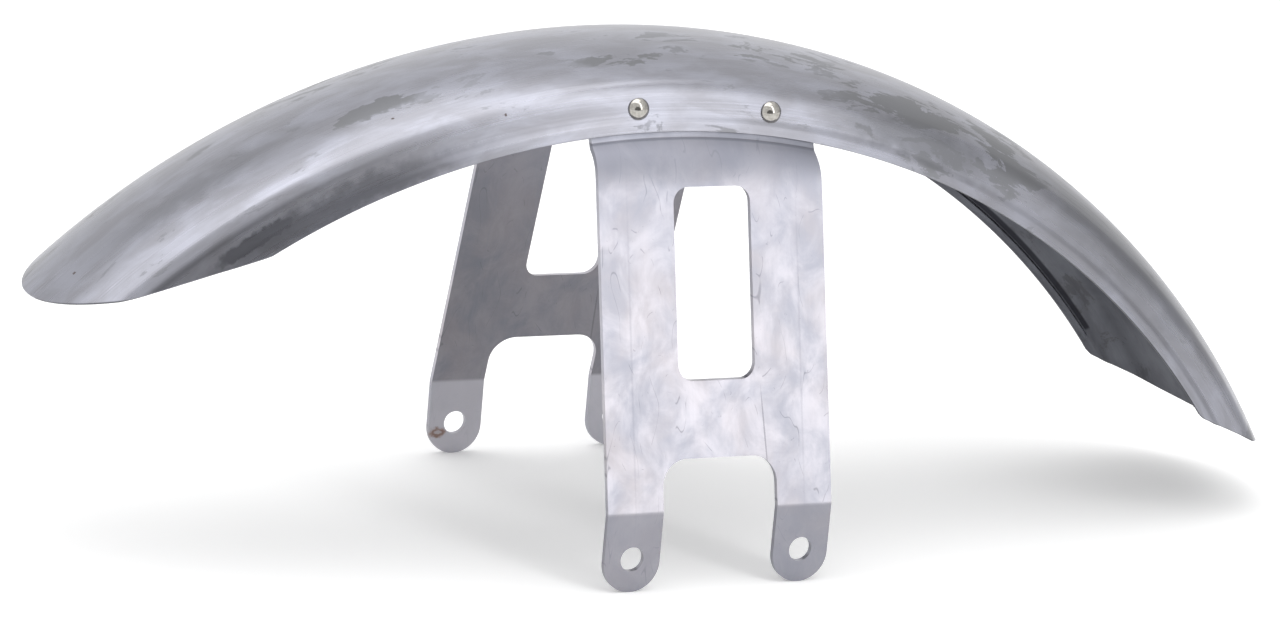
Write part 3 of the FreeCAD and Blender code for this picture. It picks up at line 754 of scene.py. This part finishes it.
def mill_finish_steel(name, dull, pale, film_shade, roughness, groove=False):
    """Cold-rolled mild steel, rolled to shape and left bare.

    Fine lines run along the sheet from the rolls. A dried oil film lies on the crown in grey
    patches with sharp, darker rims. The clean metal between is paler, a little bluer and more
    polished. Darker patches of painted shade stand for darker reflections here and there on the
    crown and the wall, and along the lower front wall over a real stain. Inside, a dark band of
    painted shade lies in the groove above the folded lip. The lines and the hairline scratches are
    finer on the real sheet, and are as coarse here as they need to show."""
    material, tree, shader = new_steel(name)
    place = millimetres(tree, add(tree, "ShaderNodeUVMap", uv_map="sheet").outputs["UV"])
    lines = patches(tree, place, (120.0, 0.8, 1.0), 0.32, 0.68, detail=3.0)
    mottle = patches(tree, place, (30.0, 12.0, 1.0), 0.35, 0.68, detail=6.0, distortion=0.5)
    colour = cover(tree, linear(dull), mottle, 1.0, pale)
    colour = cover(tree, colour, lines, 0.12, film_shade)
    # The film ends where a ragged cloud passes one level, and its zones raise the cloud
    ragged = cloud(tree, place, (32.0, 13.0, 1.0), detail=10.0, distortion=0.5, rough=0.7)
    wide = patches(tree, place, (150.0, 40.0, 1.0), 0.52, 0.66, strength=0.5, detail=1.0)
    zone = joined(tree, [spots(tree, place, FILM_ZONES), wide])
    wiped = spots(tree, place, WIPED_ZONES)
    level = weighted(tree, ragged, ((zone, 0.15), (wiped, -0.09)))
    values = {"Value": level, "From Min": 0.61, "From Max": 0.622}
    film = add(tree, "ShaderNodeMapRange", values, interpolation_type="SMOOTHSTEP").outputs[0]
    rim = band(tree, level, 0.61, 0.622, 0.615, 0.64)
    values = {"Value": zone, "To Min": 0.4, "To Max": 0.9}
    depth = add(tree, "ShaderNodeMapRange", values, interpolation_type="SMOOTHSTEP").outputs[0]
    colour = cover(tree, colour, film, depth, film_shade)
    colour = cover(tree, colour, rim, 0.18, "#77777a")
    # Painted shade, for darker reflections on the crown and the wall
    colour = cover(tree, colour, spots(tree, place, PAINTED_DARK_REFLECTIONS), 0.75, "#75767b")
    # Painted shade along the lower front wall, with a real stain in it
    colour = cover(tree, colour, spots(tree, place, WALL_STAIN_AND_PAINTED_SHADE), 0.75, "#57585e")
    hairlines = scratches(tree, place, (15.0, 7.0, 1.0), 0.005, 0.36)
    colour = cover(tree, colour, hairlines, 0.4, "#5e5d60")
    pit = spots(tree, place, PITS)
    colour = cover(tree, colour, pit, 0.8, "#5c4e48")
    if groove:
        # A dark band of painted shade in the groove above the folded lip, stopping short of the
        # blade's corners
        split = add(tree, "ShaderNodeSeparateXYZ", {0: place}).outputs
        across = add(tree, "ShaderNodeMath", {0: split["Y"]}, operation="ABSOLUTE").outputs[0]
        groove_painted_shade = band(tree, across, 67.8, 68.8, 70.9, 71.4)
        length = band(tree, split["X"], -190.0, -188.0, 325.0, 327.0)
        groove_painted_shade = add(tree, "ShaderNodeMath", {0: groove_painted_shade, 1: length}, operation="MULTIPLY").outputs[0]
        colour = cover(tree, colour, groove_painted_shade, 0.9, "#2b2b31")
    rough = weighted(tree, roughness, ((film, 0.07), (lines, 0.04), (pit, 0.3)))
    height = weighted(tree, mottle, ((lines, 0.08), (film, 0.3)))
    finish(tree, shader, colour, rough, height, 0.2)
    return material


# Marks on the brackets, placed along the machine and up from the floor
SCRIBED_MIDDLE = 95.0
SCRIBED_SIZE = (0.7, 95.0)
LONG_SCRATCH = ((3.0, 62.0), (0.45, 22.0), 0.5, 1.0, 4.0)
RUST_SPOT = ((-64.0, 9.6), (4.9, 3.0), 0.5)
RUST_MIDDLE = ((-63.6, 9.8), (2.6, 1.3), 0.4)


def pressed_steel(name, cool, warm_shade, pale_shade, feet_painted_tone):
    """Pickled steel sheet, pressed between dies.

    It is paler than the blade, with cloudy warm and cool patches. Faint lines run up the plate from
    the rolls, two of them marked lines through the fork holes, and handling has left hairline
    scratches. Shade is painted in: a dark line in the crease, a darker shelf under the blade's
    edge, a darker brow, and a plate that darkens towards its top. The feet below the bend take a
    painted tone of their own, darker on the outer faces and lighter on the inner. One foot has
    begun to rust inside. The lines and the scratches are drawn coarser than they are, so that they
    show."""
    material, tree, shader = new_steel(name)
    metres = add(tree, "ShaderNodeTexCoord").outputs["Object"]
    split = add(tree, "ShaderNodeSeparateXYZ", {0: metres}).outputs
    flat = add(tree, "ShaderNodeCombineXYZ", {0: split["X"], 1: split["Z"]}).outputs[0]
    place = millimetres(tree, flat)
    lines = patches(tree, place, (1.3, 170.0, 1.0), 0.32, 0.68, detail=3.0)
    warm = patches(tree, place, (28.0, 34.0, 1.0), 0.38, 0.66, detail=7.0, distortion=0.4)
    pale = patches(
        tree, place, (17.0, 22.0, 1.0), 0.36, 0.68, detail=9.0, distortion=0.5, rough=0.66,
    )
    colour = cover(tree, linear(cool), warm, 1.0, warm_shade)
    colour = cover(tree, colour, pale, 0.7, pale_shade)
    colour = cover(tree, colour, lines, 0.1, "#9a9aa4")
    middle = (AXLE.x + BRACKET_LEAD) / MM
    for sign in (-1, 1):
        centre = (middle + sign * HOLE_SPACING / 2 / MM, SCRIBED_MIDDLE)
        scribed = spot(tree, place, centre, SCRIBED_SIZE, edge=0.2)
        colour = cover(tree, colour, scribed, 0.3, "#8b8b94")
    hairlines = joined(tree, [
        scratches(tree, place, (12.0, 34.0, 1.0), 0.006, 0.5),
        scratches(tree, place, (7.0, 9.0, 1.0), 0.008, 0.38),
        spot(tree, place, *LONG_SCRATCH),
    ])
    colour = cover(tree, colour, hairlines, 0.5, "#66666c")
    # The crease and the shelf above it are found by their distance from the axle. The shelf, under
    # the blade's edge, is painted darker as shade, and the crease takes a dark line of painted
    # shade.
    values = {0: place, 1: (AXLE.x / MM, AXLE.z / MM, 0.0)}
    reach = add(tree, "ShaderNodeVectorMath", values, operation="DISTANCE").outputs["Value"]
    crease = CREASE[1] / MM
    values = {"Value": reach, "From Min": crease, "From Max": crease + 0.8}
    shelf = add(tree, "ShaderNodeMapRange", values, interpolation_type="SMOOTHSTEP").outputs[0]
    colour = cover(tree, colour, shelf, 0.75, "#83858f")
    # A dark line of painted shade in the crease, under the blade's edge
    fold = band(tree, reach, crease - 1.0, crease - 0.3, crease, crease + 0.6)
    colour = cover(tree, colour, fold, 0.9, "#3c3d43")
    # Painted light and shade on the feet below the bend: darker on the outer faces, lighter on the
    # inner
    values = {"Value": split["Z"], "From Min": BEND_HEIGHT + MM, "From Max": BEND_HEIGHT - MM}
    feet_painted_tone_mask = add(tree, "ShaderNodeMapRange", values, interpolation_type="SMOOTHSTEP").outputs[0]
    colour = cover(tree, colour, feet_painted_tone_mask, 0.6, feet_painted_tone)
    # Rust, on the inner face of the right bracket only, and worn away in its middle
    sheet_middle = FEET_HALF - 0.5 * BRACKET_SHEET
    inner = band(tree, split["Y"], 0.0, MM, sheet_middle - 0.2 * MM, sheet_middle + 0.2 * MM)
    values = {"Value": spot(tree, place, *RUST_MIDDLE), "To Min": 1.0, "To Max": 0.35}
    worn = add(tree, "ShaderNodeMapRange", values, interpolation_type="SMOOTHSTEP").outputs[0]
    rust = spot(tree, place, *RUST_SPOT)
    for mask in (inner, worn):
        rust = add(tree, "ShaderNodeMath", {0: rust, 1: mask}, operation="MULTIPLY").outputs[0]
    colour = cover(tree, colour, rust, 0.75, "#86644e")
    # The brow is painted darker, as shade, more so the nearer to the crease, and it is made rougher
    # there too
    values = {"Value": reach, "From Min": crease + 0.2, "From Max": crease - 0.2}
    below = add(tree, "ShaderNodeMapRange", values, interpolation_type="SMOOTHSTEP").outputs[0]
    values = {"Value": split["Z"], "From Min": 157.0 * MM, "From Max": 171.0 * MM}
    brow = add(tree, "ShaderNodeMapRange", values, interpolation_type="SMOOTHSTEP").outputs[0]
    brow_painted_shade_and_roughness = add(tree, "ShaderNodeMath", {0: brow, 1: below}, operation="MULTIPLY").outputs[0]
    colour = cover(tree, colour, brow_painted_shade_and_roughness, 0.6, "#8b8d98")
    # Painted shade: the plate is darker towards its top
    values = {"Value": split["Z"], "From Min": 100.0 * MM, "From Max": 165.0 * MM}
    plate_painted_shade = add(tree, "ShaderNodeMapRange", values, interpolation_type="SMOOTHSTEP").outputs[0]
    colour = cover(tree, colour, plate_painted_shade, 0.3, "#90929d")
    rough = weighted(tree, 0.34, ((pale, -0.05), (brow_painted_shade_and_roughness, 0.18), (rust, 0.3)))
    height = weighted(tree, warm, ((lines, 0.1), (pale, 0.5)))
    finish(tree, shader, colour, rough, height, 0.14)
    return material


def nickel_plate():
    """Nickel plate over a steel rivet: bright as a mirror and slightly yellow, with faint haze."""
    material, tree, shader = new_steel("nickel_plate")
    place = millimetres(tree, add(tree, "ShaderNodeTexCoord").outputs["Object"])
    haze = patches(tree, place, (1.2, 1.2, 1.2), 0.35, 0.7, detail=5.0)
    colour = cover(tree, linear("#bbb8b3"), haze, 1.0, "#a5a29c")
    tree.links.new(colour, shader.inputs["Base Color"])
    tree.links.new(weighted(tree, 0.05, ((haze, 0.06),)), shader.inputs["Roughness"])
    return material


# The studio. The walls give a little less light than white, and are seen and mirrored as white.
PAPER_HALF = 6.0
PAPER_LIFT = 0.2
WALL_LEVEL = 0.8
# Soft round patches of the surroundings that the steel mirrors: azimuth, elevation, the degrees
# within which a patch is full and past which it is gone, and how much it adds to the walls. The
# screen is five of them, one above another.
SCREEN_AZIMUTH = 25.0
SCREEN_HEIGHTS = (11.0, 23.0, 35.0, 47.0, 59.0)
SCREEN_GLOW = (4.0, 9.5, 2.4)
GLOWS = (
    (-112.0, 57.0, 6.0, 20.0, 1.1),
    (160.0, 22.0, 12.0, 28.0, 0.15),
    (-11.0, 4.0, 24.0, 31.0, -0.78),
    (95.0, 8.0, 20.0, 45.0, -0.3),
)


def background_rays(tree):
    """1 for the camera's rays and for what metal mirrors or glass lets through, otherwise 0."""
    rays = add(tree, "ShaderNodeLightPath").outputs
    kinds = ("Is Camera Ray", "Is Glossy Ray", "Is Transmission Ray")
    return joined(tree, [rays[kind] for kind in kinds])


def lay_floor():
    """A sheet of white paper, large enough to fill the camera's view."""
    mesh = bpy.data.meshes.new("floor")
    bm = bmesh.new()
    bmesh.ops.create_grid(bm, x_segments=1, y_segments=1, size=PAPER_HALF)
    bm.to_mesh(mesh)
    bm.free()
    floor = bpy.data.objects.new("floor", mesh)
    bpy.context.scene.collection.objects.link(floor)
    paper = bpy.data.materials.new("white_paper")
    paper.use_nodes = True
    tree = paper.node_tree
    shader = tree.nodes["Principled BSDF"]
    shader.inputs["Roughness"].default_value = 0.9
    shader.inputs["Specular IOR Level"].default_value = 0.2
    shader.inputs["Emission Color"].default_value = linear("#ffffff")
    seen = background_rays(tree)
    colour = cover(tree, linear("#d8d8da"), seen, 1.0, "#ffffff")
    lift = add(tree, "ShaderNodeMath", {0: seen, 1: PAPER_LIFT}, operation="MULTIPLY").outputs[0]
    tree.links.new(colour, shader.inputs["Base Color"])
    tree.links.new(lift, shader.inputs["Emission Strength"])
    mesh.materials.append(paper)


def glow(tree, direction, azimuth, elevation, inner, outer, strength):
    """A soft round patch, with its azimuth from the machine's left side towards its rear."""
    turn, rise = math.radians(azimuth), math.radians(elevation)
    level = math.cos(rise)
    aim = (math.sin(turn) * level, -math.cos(turn) * level, math.sin(rise))
    values = {0: direction, 1: aim}
    facing = add(tree, "ShaderNodeVectorMath", values, operation="DOT_PRODUCT").outputs["Value"]
    values = {"Value": facing, "To Max": strength}
    values["From Min"] = math.cos(math.radians(outer))
    values["From Max"] = math.cos(math.radians(inner))
    return add(tree, "ShaderNodeMapRange", values, interpolation_type="SMOOTHSTEP").outputs[0]


def light_the_room():
    """White walls all round, a tall bright screen right of the camera, and a dark gap below it."""
    world = bpy.data.worlds.new("studio")
    bpy.context.scene.world = world
    world.use_nodes = True
    tree = world.node_tree
    direction = add(tree, "ShaderNodeTexCoord").outputs["Generated"]
    screen = [
        glow(tree, direction, SCREEN_AZIMUTH, height, *SCREEN_GLOW) for height in SCREEN_HEIGHTS
    ]
    others = [(glow(tree, direction, *values), 1.0) for values in GLOWS]
    glows = weighted(tree, joined(tree, screen), others)
    walls = weighted(tree, WALL_LEVEL, ((background_rays(tree), 1.0 - WALL_LEVEL),))
    camera_ray = add(tree, "ShaderNodeLightPath").outputs["Is Camera Ray"]
    hidden = add(tree, "ShaderNodeMath", {0: 1.0, 1: camera_ray}, operation="SUBTRACT").outputs[0]
    level = weighted(tree, walls, ((glows, hidden),))
    background = tree.nodes["Background"]
    background.inputs["Color"].default_value = linear("#ffffff")
    tree.links.new(level, background.inputs["Strength"])


def softbox(name, place, aim, size, power):
    """A square lamp behind white cloth."""
    data = bpy.data.lights.new(name, "AREA")
    data.shape = "RECTANGLE"
    data.size, data.size_y = size
    data.energy = power
    lamp = bpy.data.objects.new(name, data)
    lamp.location = place
    lamp.rotation_euler = (Vector(aim) - Vector(place)).to_track_quat("-Z", "Y").to_euler()
    bpy.context.scene.collection.objects.link(lamp)


set_camera()
bpy.context.scene.view_settings.view_transform = "Standard"
blade_steel = mill_finish_steel("mill_finish_steel", "#929299", "#a1a2ac", "#797a7d", 0.27)
# A darker copy of the blade's steel for the inner faces: painted shade, as the inside mirrors
# darker surroundings
blade_inside_painted_shade = mill_finish_steel(
    "mill_finish_steel_inside_painted_shade", "#5b5c62", "#696b71", "#545458", 0.36, groove=True,
)
bracket_steel = pressed_steel("pressed_steel", "#9fa0aa", "#aca8ad", "#bdbac0", "#85868f")
# A darker copy of the brackets' steel for their inner faces: painted shade, with the feet painted
# lighter there for the light they catch
bracket_inside_painted_light_and_shade = pressed_steel(
    "pressed_steel_inside_painted_light_and_shade", "#83848c", "#8d8a8f", "#9c999e", "#cbcad2",
)
rivet_plate = nickel_plate()
build_blade(blade_steel, blade_inside_painted_shade)
for side, side_name in ((-1, "left"), (1, "right")):
    build_bracket(side, side_name, bracket_steel, bracket_inside_painted_light_and_shade)
    for sign, end in ((-1, "front"), (1, "rear")):
        build_rivet(side, sign, "rivet_%s_%s" % (side_name, end), rivet_plate)
lay_floor()
light_the_room()
softbox("overhead", (-0.1, -0.05, 1.6), (-0.05, 0, 0.1), (1.2, 1.1), 6.0)
